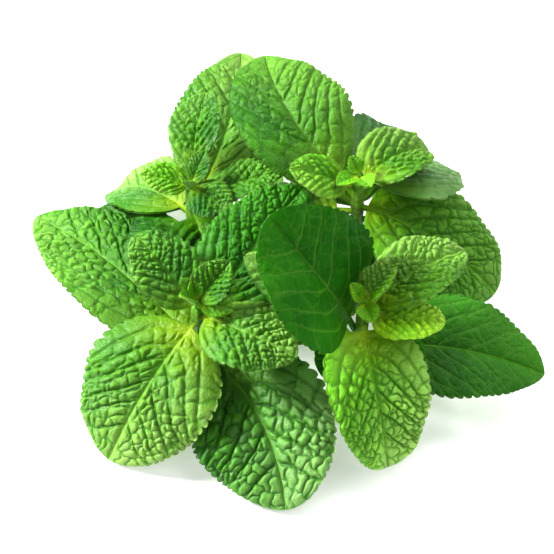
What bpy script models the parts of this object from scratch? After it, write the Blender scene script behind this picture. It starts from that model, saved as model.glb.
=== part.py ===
"""A cut sprig of garden mint, lying on a flat surface as it was picked.

One square main stem lies along Y with its cut end at the back. Two pairs of opposite side shoots grow from
it, bend up and carry crossed pairs of toothed, quilted leaves, each pair smaller than the one below it. A
shoot ends in a cluster of young leaves on a short bud. Sizes are in millimetres and degrees up to the last
step, which writes metres. The origin is under the middle of the sprig, at the height of the surface.
"""

import math

import bpy
import numpy as np

METRES = 0.001

# The main stem and its side shoots
MAIN_HALF = 1.9
CUT_END_Y = 62.0
FRONT_END_Y = -5.0
SHOOT_HALF_LOW = 1.45
SHOOT_HALF_TOP = 1.1
CORNER_SHARE = 0.3
NODE_SWELLING = 1.15
NODE_REACH = 1.6

# The leaves, thickest along the midrib
BLADE_THICK = 0.7
MIDRIB_THICK = 0.3
STALK_THICK = 1.2
STALK_HALF = 0.8
TIP_HALF = 0.3
ROOT_DISTANCE = 2.2
TOOTH_DEPTH = 0.045
TOOTH_LEAN = 0.4
VEIN_SWEEP = 0.14
QUILT_LIFT = 0.4
MIDRIB_SINK = 0.35
EDGE_WAVE = 0.6
LARGE_TEETH = 10
SMALL_TEETH = 7
LARGE_LENGTH = 30.0
FINE_STEPS = 64

# The buds at the tops of the shoots
JOINT_GAP = 0.3
BUD_HALF = 0.9
BUD_HEIGHT = 2.6
BUD_TEETH = 3

# The middle of the sprig's outline, which is moved to the origin
MIDDLE_X = 1.15
MIDDLE_Y = 1.505

# Each shoot's upright part: where it stands, the height of its top and where it leaves the main stem
SHOOTS = {
    "front_left": dict(x=-20.0, y=-22.5, top=28.4, joins_y=-1.0),
    "front_right": dict(x=21.3, y=-25.5, top=31.6, joins_y=-2.0),
    "back_right": dict(x=21.0, y=12.0, top=37.4, joins_y=30.0),
    "back_left": dict(x=-22.5, y=16.5, top=29.0, joins_y=34.0),
}

# Each leaf: node is its height on the shoot. heading turns from +X towards +Y, bend is how far it turns on
# the way to the tip, rise is the slope at the base and arch is how far the slope changes by the tip. fold
# and curl shape the two halves, widest is the share of the length with the greatest width, and full is
# lower for a rounder outline.
LEAVES = {
    "front_left_pair1_left": dict(
        shoot="front_left", node=12, stalk=2, heading=128.5, bend=9, rise=7, arch=-24,
        length=64, width=34.5, roll=2, fold=15, curl=-10, widest=0.37, full=0.64),
    "front_left_pair1_right": dict(
        shoot="front_left", node=12, stalk=6, heading=-49, bend=-34, rise=3, arch=-36,
        length=43, width=36.5, roll=17, fold=12, curl=-18, widest=0.46, full=0.52),
    "front_left_pair2_left": dict(
        shoot="front_left", node=23, stalk=0.6, heading=-129, bend=-1, rise=-10, arch=-48,
        length=40.5, width=37.5, roll=-4, fold=8, curl=-27, widest=0.44, full=0.48),
    "front_left_pair2_right": dict(
        shoot="front_left", node=20, stalk=4, heading=53, bend=-2, rise=31, arch=-25,
        length=41, width=26, roll=9, fold=12, curl=-24, widest=0.42, full=0.58),
    "front_left_pair3_left": dict(
        shoot="front_left", node=26, stalk=0.5, heading=128, bend=8, rise=36, arch=-32,
        length=24, width=18, roll=-8, fold=14, curl=-20, widest=0.43, full=0.58),
    "front_left_pair3_right": dict(
        shoot="front_left", node=26, stalk=0.5, heading=-36, bend=10, rise=22, arch=-39,
        length=27, width=22, roll=2, fold=9, curl=-29, widest=0.45, full=0.56),
    "front_left_pair1_front": dict(
        shoot="front_left", node=15.5, stalk=3, heading=-88, bend=0, rise=0, arch=-34,
        length=20, width=14, roll=0, fold=12, curl=-18, widest=0.43, full=0.60),
    "front_right_pair1_left": dict(
        shoot="front_right", node=19, stalk=3, heading=157, bend=-4, rise=40, arch=-24,
        length=32, width=18, roll=0, fold=12, curl=-20, widest=0.43, full=0.64),
    "front_right_pair1_right": dict(
        shoot="front_right", node=17, stalk=3, heading=0.5, bend=-7, rise=4, arch=-34,
        length=44, width=28.5, roll=15, fold=15, curl=-18, widest=0.40, full=0.64),
    "front_right_pair2_left": dict(
        shoot="front_right", node=25, stalk=3.2, heading=181, bend=-33, rise=69, arch=-27,
        length=37.8, width=35, roll=-22, fold=16, curl=-14, widest=0.37, full=0.48),
    "front_right_pair2_right": dict(
        shoot="front_right", node=26, stalk=0.6, heading=-80, bend=9, rise=-9, arch=-69,
        length=37, width=27, roll=-6, fold=17, curl=-10, widest=0.36, full=0.48),
    "front_right_pair1_low": dict(
        shoot="front_right", node=20, stalk=1, heading=236, bend=0, rise=-2, arch=-20,
        length=12, width=15.5, roll=0, fold=10, curl=-18, widest=0.43, full=0.5),
    "front_right_pair2_low": dict(
        shoot="front_right", node=22, stalk=1, heading=-28, bend=0, rise=-2, arch=-24,
        length=15, width=15, roll=0, fold=10, curl=-18, widest=0.43, full=0.55),
    "front_right_pair3_right": dict(
        shoot="front_right", node=28, stalk=0.4, heading=-11, bend=0, rise=20, arch=-24,
        length=18.5, width=14, roll=-2, fold=11, curl=-26, widest=0.44, full=0.50),
    "front_right_pair4_right": dict(
        shoot="front_right", node=30, stalk=1, heading=32, bend=-3, rise=40, arch=-60,
        length=29, width=20, roll=-2, fold=14, curl=-17, widest=0.47, full=0.62),
    "back_right_pair1_back": dict(
        shoot="back_right", node=22, stalk=4, heading=98, bend=6, rise=-2, arch=-40,
        length=36, width=23, roll=0, fold=14, curl=-20, widest=0.42, full=0.63),
    "back_right_pair1_front": dict(
        shoot="back_right", node=16.2, stalk=3, heading=236, bend=0, rise=-2, arch=-24,
        length=32, width=27, roll=0, fold=12, curl=-18, widest=0.43, full=0.50),
    "back_right_pair1_right": dict(
        shoot="back_right", node=21, stalk=3, heading=-70, bend=0, rise=-6, arch=-16,
        length=19, width=20, roll=0, fold=12, curl=-18, widest=0.43, full=0.60),
    "back_right_pair2_left": dict(
        shoot="back_right", node=26, stalk=3, heading=175, bend=0, rise=-2, arch=-16,
        length=27, width=20, roll=0, fold=12, curl=-18, widest=0.43, full=0.60),
    "back_right_pair2_low": dict(
        shoot="back_right", node=22.5, stalk=2, heading=12, bend=0, rise=-6, arch=-20,
        length=24, width=19, roll=0, fold=12, curl=-18, widest=0.43, full=0.55),
    "back_right_pair3_right": dict(
        shoot="back_right", node=33, stalk=3, heading=46, bend=-1, rise=1, arch=-48,
        length=27.5, width=37.5, roll=2, fold=15, curl=-11, widest=0.42, full=0.54),
    "back_right_pair3_left": dict(
        shoot="back_right", node=31, stalk=5, heading=141, bend=-44, rise=35, arch=-44,
        length=44, width=31.5, roll=-2, fold=15, curl=-18, widest=0.45, full=0.61),
    "back_right_pair2_right": dict(
        shoot="back_right", node=28, stalk=0.5, heading=-16.5, bend=-12, rise=-9, arch=-34,
        length=41.5, width=33, roll=4, fold=12, curl=-23, widest=0.43, full=0.46),
    "back_right_pair4_left": dict(
        shoot="back_right", node=36, stalk=1, heading=187, bend=1, rise=38, arch=-20,
        length=17, width=13, roll=-12, fold=11, curl=-26, widest=0.44, full=0.60),
    "back_right_pair4_right": dict(
        shoot="back_right", node=36, stalk=1, heading=40, bend=-14, rise=34, arch=-80,
        length=22, width=18, roll=2, fold=17, curl=-12, widest=0.40, full=0.57),
    "back_left_pair1_left": dict(
        shoot="back_left", node=19.5, stalk=2, heading=134, bend=4, rise=-3, arch=-50,
        length=31.5, width=22, roll=-6, fold=17, curl=-12, widest=0.43, full=0.60),
    "back_left_pair1_right": dict(
        shoot="back_left", node=14, stalk=4, heading=80, bend=0, rise=4, arch=-36,
        length=31, width=18, roll=0, fold=14, curl=-18, widest=0.43, full=0.64),
    "back_left_pair1_low": dict(
        shoot="back_left", node=13, stalk=4, heading=170, bend=-6, rise=-2, arch=-28,
        length=31, width=18, roll=0, fold=10, curl=-16, widest=0.43, full=0.60),
    "back_left_pair1_front": dict(
        shoot="back_left", node=22, stalk=1, heading=-74, bend=0, rise=-2, arch=-12,
        length=30, width=23, roll=0, fold=12, curl=-18, widest=0.43, full=0.5),
    "back_left_pair2_low": dict(
        shoot="back_left", node=17.75, stalk=1, heading=222, bend=0, rise=0, arch=-10,
        length=16.5, width=20.5, roll=0, fold=10, curl=-18, widest=0.43, full=0.55),
    "back_left_pair2_left": dict(
        shoot="back_left", node=22, stalk=4, heading=67, bend=21, rise=12, arch=-10,
        length=48, width=30, roll=5, fold=14, curl=-20, widest=0.44, full=0.59),
    "back_left_pair2_right": dict(
        shoot="back_left", node=25, stalk=1, heading=7, bend=-4, rise=36, arch=-32,
        length=23, width=14, roll=-2, fold=16, curl=-15, widest=0.43, full=0.58),
    "back_left_pair3_left": dict(
        shoot="back_left", node=27, stalk=6, heading=88, bend=-16, rise=38, arch=-25,
        length=21, width=16, roll=-24, fold=18, curl=-12, widest=0.50, full=0.62),
}

# The young leaves of each bud, which start inside it
BUD_LEAVES = {
    "front_left": [
        dict(heading=30, bend=8, rise=50, arch=-14, length=13, width=11, roll=22, fold=26, curl=-8),
        dict(heading=-12, bend=0, rise=14, arch=-40, length=9, width=7.5, roll=10, fold=12, curl=-16),
        dict(heading=206, bend=0, rise=58, arch=-20, length=6, width=4.5, roll=0, fold=20, curl=0),
        dict(heading=112, bend=0, rise=66, arch=-20, length=5, width=4, roll=0, fold=20, curl=0),
    ],
    "front_right": [
        dict(heading=28, bend=10, rise=48, arch=-16, length=12, width=12, roll=-16, fold=28, curl=-8),
        dict(heading=140, bend=0, rise=62, arch=-30, length=5.5, width=4.5, roll=0, fold=16, curl=0),
        dict(heading=-70, bend=0, rise=20, arch=-40, length=6, width=6, roll=0, fold=12, curl=-10),
    ],
    "back_right": [
        dict(heading=-60, bend=0, rise=34, arch=-40, length=5.5, width=5.5, roll=0, fold=16, curl=-10),
        dict(heading=120, bend=0, rise=60, arch=-30, length=5, width=4.5, roll=0, fold=18, curl=-10),
        dict(heading=215, bend=0, rise=26, arch=-36, length=6.5, width=5.5, roll=0, fold=14, curl=0),
    ],
    "back_left": [
        dict(heading=175, bend=0, rise=26, arch=-28, length=13, width=9.5, roll=-14, fold=12, curl=-23),
        dict(heading=-46, bend=0, rise=12, arch=-20, length=14, width=12, roll=12, fold=10, curl=-26),
        dict(heading=60, bend=0, rise=52, arch=-30, length=9, width=7, roll=0, fold=16, curl=-10),
        dict(heading=240, bend=0, rise=62, arch=-20, length=6, width=4.5, roll=0, fold=18, curl=0),
    ],
}
BUD_LEAF_FORM = dict(widest=0.43, full=0.63)

# Colour, roughness and metallic value of each kind of piece
FINISHES = {
    "leaf": ((0.055, 0.21, 0.018), 0.52, 0.0),
    "young_leaf": ((0.16, 0.36, 0.035), 0.55, 0.0),
    "stem": ((0.19, 0.30, 0.06), 0.6, 0.0),
}


def clear_scene():
    for item in list(bpy.data.objects):
        bpy.data.objects.remove(item, do_unlink=True)


def finish(kind, node):
    """The material of one node, from its kind's colour, roughness and metallic value."""
    colour, rough, metal = FINISHES[kind]
    material = bpy.data.materials.new(f"{kind}_of_{node}")
    material.use_nodes = True
    shader = material.node_tree.nodes["Principled BSDF"]
    shader.inputs["Base Color"].default_value = (*colour, 1.0)
    shader.inputs["Roughness"].default_value = rough
    shader.inputs["Metallic"].default_value = metal
    return material


def add_object(name, points, faces, kind):
    """One closed mesh, from points in millimetres."""
    middle = np.array([MIDDLE_X, MIDDLE_Y, 0.0])
    mesh = bpy.data.meshes.new(name)
    mesh.from_pydata(((points - middle) * METRES).tolist(), [], faces)
    mesh.update()
    item = bpy.data.objects.new(name, mesh)
    bpy.context.scene.collection.objects.link(item)
    mesh.materials.append(finish(kind, name))
    return item


def fuse(base, others):
    """Joins closed objects into base by one Boolean union, and removes the others."""
    group = bpy.data.collections.new("to_fuse")
    bpy.context.scene.collection.children.link(group)
    for other in others:
        bpy.context.scene.collection.objects.unlink(other)
        group.objects.link(other)
    union = base.modifiers.new("union", "BOOLEAN")
    union.operation = "UNION"
    union.operand_type = "COLLECTION"
    union.collection = group
    union.solver = "MANIFOLD"
    bpy.context.view_layer.update()
    fused = bpy.data.meshes.new_from_object(base.evaluated_get(bpy.context.evaluated_depsgraph_get()))
    base.modifiers.clear()
    base.data = fused
    while len(fused.materials) > 1:
        fused.materials.pop()
    for other in others:
        bpy.data.objects.remove(other, do_unlink=True)
    bpy.data.collections.remove(group)


def midrib(leaf, root, share):
    """The midrib at each share of the blade's length: its points and its forward, side and up directions.

    The heading and the slope change evenly from base to tip, and the points are the sum of the small steps
    along them. A share below 0 lies on the stalk, which runs straight on from the base.
    """
    fine = np.linspace(0.0, 1.0, FINE_STEPS + 1)
    heading = np.radians(leaf["heading"] + leaf["bend"] * fine)
    slope = np.radians(leaf["rise"] + leaf["arch"] * fine)
    forward = np.stack([np.cos(slope) * np.cos(heading), np.cos(slope) * np.sin(heading), np.sin(slope)], -1)
    steps = (forward[1:] + forward[:-1]) / 2 * leaf["length"] / FINE_STEPS
    base = root + forward[0] * leaf["stalk"]
    path = base + np.concatenate([np.zeros((1, 3)), np.cumsum(steps, 0)])
    inside = np.clip(share, 0.0, 1.0)
    points = np.stack([np.interp(inside, fine, path[:, k]) for k in range(3)], -1)
    points = points + forward[0] * (np.minimum(share, 0.0) * leaf["length"])[..., None]
    heading = np.radians(leaf["heading"] + leaf["bend"] * inside)
    slope = np.radians(leaf["rise"] + leaf["arch"] * inside)
    forward = np.stack([np.cos(slope) * np.cos(heading), np.cos(slope) * np.sin(heading), np.sin(slope)], -1)
    level = np.stack([-np.sin(heading), np.cos(heading), np.zeros_like(heading)], -1)
    above = np.cross(forward, level)
    roll = math.radians(leaf["roll"])
    side = math.cos(roll) * level + math.sin(roll) * above
    return points, side, math.cos(roll) * above - math.sin(roll) * level


def half_width(leaf, share):
    """Half the blade's width, an ovate sine arch, which narrows to the stalk's own width."""
    power = math.log(0.5) / math.log(leaf["widest"])
    arch = np.sin(np.pi * np.clip(share, 0.0, 1.0) ** power).clip(0.0)
    stalk = np.where(share < 0.5, leaf["stalk_half"], TIP_HALF)
    return np.maximum(leaf["width"] / 2 * arch ** leaf["full"], stalk)


def leaf_shell(leaf, root, teeth, across):
    """Points and faces of one closed leaf: an upper and an under face, a toothed rim, a root and a tip.

    Both faces are the same grid, split along the same diagonals. Its rows run along the stalk and then two
    to each tooth, and its columns run across. Every second row stands out at the rim and on the blistered
    halves, so that the rim is toothed and the blade is quilted between its side veins.
    """
    rows = 2 * teeth
    stalk = leaf["stalk"] / leaf["length"]
    share = np.concatenate([[-stalk], [-stalk / 2], np.arange(rows + 1) / rows])
    number = np.arange(len(share)) - 2
    column = np.linspace(-1.0, 1.0, across)
    out = np.where(number % 2 == 1, 1.0, -1.0)
    out[(number <= 0) | (number >= rows - 1)] = 0.0
    body = np.sin(np.pi * np.clip(share, 0.0, 1.0)) ** 0.5
    rim = np.abs(column) > 0.99
    away = np.abs(column)[None, :]
    lean = TOOTH_LEAN / rows * out[:, None] * rim + VEIN_SWEEP * body[:, None] ** 2 * away
    place = share[:, None] + lean
    points, side, up = midrib(leaf, root, place)
    width = half_width(leaf, place) * (1 + TOOTH_DEPTH * out[:, None] * rim)
    fold, curl = math.radians(leaf["fold"]), math.radians(leaf["curl"]) + 1e-6
    tilt = fold + curl * away
    spread = (np.sin(tilt) - math.sin(fold)) / curl * np.sign(column)
    height = (math.cos(fold) - np.cos(tilt)) / curl
    quilt = QUILT_LIFT * leaf["width"] / 30 * out[:, None] * np.sin(np.pi * away)
    wave = EDGE_WAVE * leaf["width"] / 30 * np.sin(5 * np.pi * share + leaf["heading"])[:, None] * away**3
    sink = -MIDRIB_SINK * (1 - away) ** 4
    relief = (quilt + wave + sink) * body[:, None]
    upper = points + side * (width * spread)[..., None] + up * (width * height + relief)[..., None]
    lean_in = np.sign(column)[None, :, None] * np.sin(tilt)[..., None]
    down = side * lean_in - up * np.cos(tilt)[..., None]
    thick = BLADE_THICK + (STALK_THICK - BLADE_THICK) * (1 - np.clip(share * 3, 0.0, 1.0))
    thick = thick[:, None] + MIDRIB_THICK * (1 - away) ** 3 * body[:, None]
    upper[..., 2] = np.maximum(upper[..., 2], thick)
    lower = upper + down * thick[..., None]
    lower[..., 2] = np.maximum(lower[..., 2], 0.0)
    return np.concatenate([upper.reshape(-1, 3), lower.reshape(-1, 3)]), shell_faces(len(share), across)


def shell_faces(rows, columns):
    """Faces of a closed shell of two like grids: outward above and below, with a rim all round."""
    count = rows * columns
    faces = []
    for i in range(rows - 1):
        for j in range(columns - 1):
            a = i * columns + j
            b, c, d = a + 1, a + columns + 1, a + columns
            for triangle in ((a, d, c), (a, c, b)):
                faces.append(triangle)
                faces.append(tuple(count + k for k in reversed(triangle)))
    left = [i * columns for i in range(rows)]
    right = [i * columns + columns - 1 for i in range(rows)]
    ring = left + list(range(left[-1] + 1, right[-1])) + right[::-1] + list(range(columns - 2, 0, -1))
    for a, b in zip(ring, ring[1:] + ring[:1]):
        faces.append((a, count + a, count + b))
        faces.append((a, count + b, b))
    return faces


def add_leaf(name, form):
    leaf = dict(form, stalk_half=STALK_HALF)
    shoot = SHOOTS[leaf["shoot"]]
    heading = math.radians(leaf["heading"])
    root = np.array([shoot["x"], shoot["y"], leaf["node"]], float)
    root = root + ROOT_DISTANCE * np.array([math.cos(heading), math.sin(heading), 0.0])
    teeth = LARGE_TEETH if leaf["length"] > LARGE_LENGTH else SMALL_TEETH
    kind = "leaf" if leaf["length"] > LARGE_LENGTH else "young_leaf"
    return add_object(name, *leaf_shell(leaf, root, teeth, 5), kind)


def square_ring(middle, side, up, half):
    """Eight points round a square with cut corners."""
    corner = half * (1 - CORNER_SHARE)
    outline = [(half, -corner), (half, corner), (corner, half), (-corner, half)]
    outline += [(-x, -y) for x, y in outline]
    return [middle + side * x + up * y for x, y in outline]


def tube(path, halves, first_side):
    """A closed square rod along a path, whose side direction is carried from each point to the next."""
    path = np.asarray(path, float)
    along = np.gradient(path, axis=0)
    along /= np.linalg.norm(along, axis=1)[:, None]
    side = np.asarray(first_side, float)
    points = []
    for middle, forward, half in zip(path, along, halves):
        side = side - forward * (side @ forward)
        side = side / np.linalg.norm(side)
        points += square_ring(middle, side, np.cross(forward, side), half)
    faces = [tuple(range(7, -1, -1)), tuple(range(len(points) - 8, len(points)))]
    for i in range(len(path) - 1):
        for j in range(8):
            a, b = 8 * i + j, 8 * i + (j + 1) % 8
            faces.append((a, b, b + 8, a + 8))
    return np.array(points), faces


def smooth_path(corners, steps):
    """A Catmull-Rom curve through the corners, with the same number of steps in each stretch."""
    corners = np.asarray(corners, float)
    held = np.concatenate([2 * corners[:1] - corners[1:2], corners, 2 * corners[-1:] - corners[-2:-1]])
    points = []
    for p0, p1, p2, p3 in zip(held, held[1:], held[2:], held[3:]):
        for t in np.arange(steps) / steps:
            turn = (2 * p0 - 5 * p1 + 4 * p2 - p3) * t**2 + (3 * p1 - p0 - 3 * p2 + p3) * t**3
            points.append((2 * p1 + (p2 - p0) * t + turn) / 2)
    return np.array(points + [corners[-1]])


def shoot_path(shoot):
    """The middle line of a side shoot, from inside the main stem out along the surface and then upright."""
    x, y, top, joins = shoot["x"], shoot["y"], shoot["top"], shoot["joins_y"]
    low = SHOOT_HALF_LOW + 0.3
    corners = [(0, joins, low), (0.42 * x, joins + 0.36 * (y - joins), low + 0.2)]
    corners += [(0.84 * x, joins + 0.84 * (y - joins), low + 1.6), (x, y, 8.5), (x, y, 13.0)]
    bent = smooth_path(corners, 3)
    upright = np.linspace(13.0, top, 7)[1:]
    return np.concatenate([bent, np.stack([0 * upright + x, 0 * upright + y, upright], -1)])


def add_stem():
    """The main stem with its four side shoots fused to it, a little swollen where leaves grow."""
    length = np.linspace(CUT_END_Y, FRONT_END_Y, 6)
    main = np.stack([0 * length, length, 0 * length + MAIN_HALF], -1)
    halves = np.full(len(main), MAIN_HALF)
    base = add_object("stem", *tube(main, halves, (1, 0, 0)), "stem")
    others = []
    for name, shoot in SHOOTS.items():
        path = shoot_path(shoot)
        climb = np.clip(path[:, 2] / shoot["top"], 0.0, 1.0)
        halves = SHOOT_HALF_LOW + (SHOOT_HALF_TOP - SHOOT_HALF_LOW) * climb
        nodes = np.array([leaf["node"] for leaf in LEAVES.values() if leaf["shoot"] == name])
        near = np.abs(path[:, 2:] - nodes[None, :]).min(1) < NODE_REACH
        halves = np.where(near, halves * NODE_SWELLING, halves)
        others.append(add_object(f"shoot_{name}", *tube(path, halves, (0, 0, 1)), "stem"))
    fuse(base, others)


def add_bud(name, shoot):
    """A short tapered bud on top of a shoot, with its young leaves fused to it."""
    low = shoot["top"] + JOINT_GAP
    path = [(shoot["x"], shoot["y"], low + BUD_HEIGHT * k) for k in (0.0, 0.5, 1.0)]
    halves = [BUD_HALF, BUD_HALF * 0.9, BUD_HALF * 0.4]
    base = add_object(f"{name}_bud", *tube(path, halves, (1, 0, 0)), "young_leaf")
    others = []
    for number, form in enumerate(BUD_LEAVES[name]):
        leaf = dict(BUD_LEAF_FORM, **form, stalk=0.8, stalk_half=0.6)
        root = np.array([shoot["x"], shoot["y"], low + 1.3 + 0.2 * number])
        shell = leaf_shell(leaf, root, BUD_TEETH, 3)
        others.append(add_object(f"{name}_young_{number}", *shell, "young_leaf"))
    fuse(base, others)


def main():
    clear_scene()
    add_stem()
    for name, form in LEAVES.items():
        add_leaf(name, form)
    for name, shoot in SHOOTS.items():
        add_bud(name, shoot)


main()
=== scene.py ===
"""The looks of a cut mint sprig: fine quilted leaves, haired square stems, young buds, light and camera.

Every leaf is the same formula as in the part's solids, on a fine grid, with its veins and blisters added.
Sizes are in millimetres and degrees. Finished meshes, the floor, the lights and the camera are in metres.
"""

import math

import bpy
import numpy as np
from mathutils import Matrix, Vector


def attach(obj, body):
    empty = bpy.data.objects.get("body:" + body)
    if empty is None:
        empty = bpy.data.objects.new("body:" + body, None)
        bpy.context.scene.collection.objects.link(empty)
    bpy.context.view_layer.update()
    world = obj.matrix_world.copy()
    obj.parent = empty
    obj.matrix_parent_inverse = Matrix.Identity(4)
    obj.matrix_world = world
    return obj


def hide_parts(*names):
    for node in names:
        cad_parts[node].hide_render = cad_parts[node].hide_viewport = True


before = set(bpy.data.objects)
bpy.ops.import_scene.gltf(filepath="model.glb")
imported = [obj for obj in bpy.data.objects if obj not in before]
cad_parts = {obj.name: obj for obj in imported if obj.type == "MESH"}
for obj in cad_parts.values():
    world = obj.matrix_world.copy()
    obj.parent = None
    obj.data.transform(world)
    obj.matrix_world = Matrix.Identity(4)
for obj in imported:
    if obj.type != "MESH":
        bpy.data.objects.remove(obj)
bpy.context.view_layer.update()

METRES = 0.001

# The stems, as in the part's solids
MAIN_HALF = 1.9
CUT_END_Y = 62.0
FRONT_END_Y = -5.0
SHOOT_HALF_LOW = 1.45
SHOOT_HALF_TOP = 1.1
NODE_SWELLING = 1.15
NODE_REACH = 1.6
JOINT_GAP = 0.3
BUD_HALF = 0.9
BUD_HEIGHT = 2.6

# The leaves' form, as in the part's solids
STALK_HALF = 0.8
TIP_HALF = 0.3
ROOT_DISTANCE = 2.2
VEIN_SWEEP = 0.14
EDGE_WAVE = 0.6
MIDRIB_SINK = 0.35
FINE_STEPS = 64
MIDDLE = np.array([1.15, 1.505, 0.0])

# The finer form of a leaf that only the looks have. The teeth's depth is a share of the half width, and their
# forward shift is a share of the length. The rim is the band along the blade's edge where it has teeth.
BLADE_THICK = 0.5
RIM_THICK = 0.3
STALK_THICK = 1.2
STALK_ROWS = 10
ROOT_INSIDE = 1.7
ROWS_PER_TOOTH = 8
COLUMNS_PER_MM = 1.7
TOOTH_PITCH = 2.1
TOOTH_DEPTH = 0.040
TOOTH_LEAN = 0.13
TOOTH_SHIFT = 0.006
RIM_START = 0.86
RIM_BAND = 0.14
FULL_RELIEF_WIDTH = 26

# How far each line of the leaf reaches to its sides
VEIN_HALF = 0.34
WIDE_VEIN_HALF = 1.1
THIN_VEIN_HALF = 0.17
NET_HALF = 0.22
# HOLLOW_SHADE_HALF is how far the painted shade between the blisters reaches
HOLLOW_SHADE_HALF = 0.30
RIB_HALF = 0.26

# Stems and hairs in the looks
NODE_TINT = 0.7
MAIN_ROWS = 90
STEM_AROUND = 40
BUD_ROWS = 9
BUD_AROUND = 24
LEAF_HAIRS = dict(length=0.45, thick=0.03)
STEM_HAIRS = dict(length=0.5, thick=0.035)
HAIR_FOOT = 0.08
LOWEST_HAIR = 0.5
LEAF_HAIR_COUNT = 220
BUD_HAIR_COUNT = 60
MAIN_HAIR_COUNT = 700
SHOOT_HAIR_COUNT = 420
UPPER_SLOT, UNDER_SLOT, HAIR_SLOT, FIRST_YOUNG_SLOT = 0, 1, 2, 3

SHOOTS = {
    "front_left": dict(x=-20.0, y=-22.5, top=28.4, joins_y=-1.0),
    "front_right": dict(x=21.3, y=-25.5, top=31.6, joins_y=-2.0),
    "back_right": dict(x=21.0, y=12.0, top=37.4, joins_y=30.0),
    "back_left": dict(x=-22.5, y=16.5, top=29.0, joins_y=34.0),
}

# How each kind of blade is blistered. veins is the number of side veins on a half and sweep how far they
# run towards the tip, puff is the rise between them, cell is the rise of a blister and size its width,
# groove is the depth of a side vein, pale shows light veins and dark is the strength of the painted shade in
# the grooves and between the blisters. painted_light_side is the half that gets the painted light, lighter
# and with more painted sheen, 1 where it isn't given.
SKINS = {
    "quilted": dict(veins=6, sweep=0.50, puff=0.19, cell=0.85, size=2.8, groove=0.26, pale=0.10, dark=0.70),
    "broad": dict(veins=5, sweep=0.48, puff=0.36, cell=1.00, size=3.0, groove=0.36, pale=0.0, dark=0.7),
    "bullate": dict(veins=6, sweep=0.40, puff=0.10, cell=1.10, size=1.8, groove=0.12, pale=0.0, dark=0.6),
    "ribbed": dict(veins=7, sweep=0.42, puff=0.34, cell=0.85, size=1.8, groove=0.30, pale=0.10, dark=0.5),
    "long_veined": dict(veins=6, sweep=0.50, puff=0.34, cell=0.50, size=3.0, groove=0.28, pale=0.15,
                        dark=0.4, painted_light_side=-1),
    "smooth": dict(veins=5, sweep=0.46, puff=0.12, cell=0.26, size=3.4, groove=0.12, pale=0.46, dark=0.1),
    "young": dict(veins=5, sweep=0.36, puff=0.16, cell=0.55, size=1.3, groove=0.20, pale=0.1, dark=0.5),
    "fine": dict(veins=6, sweep=0.46, puff=0.22, cell=1.10, size=2.1, groove=0.30, pale=0.10, dark=0.62),
}
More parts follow.
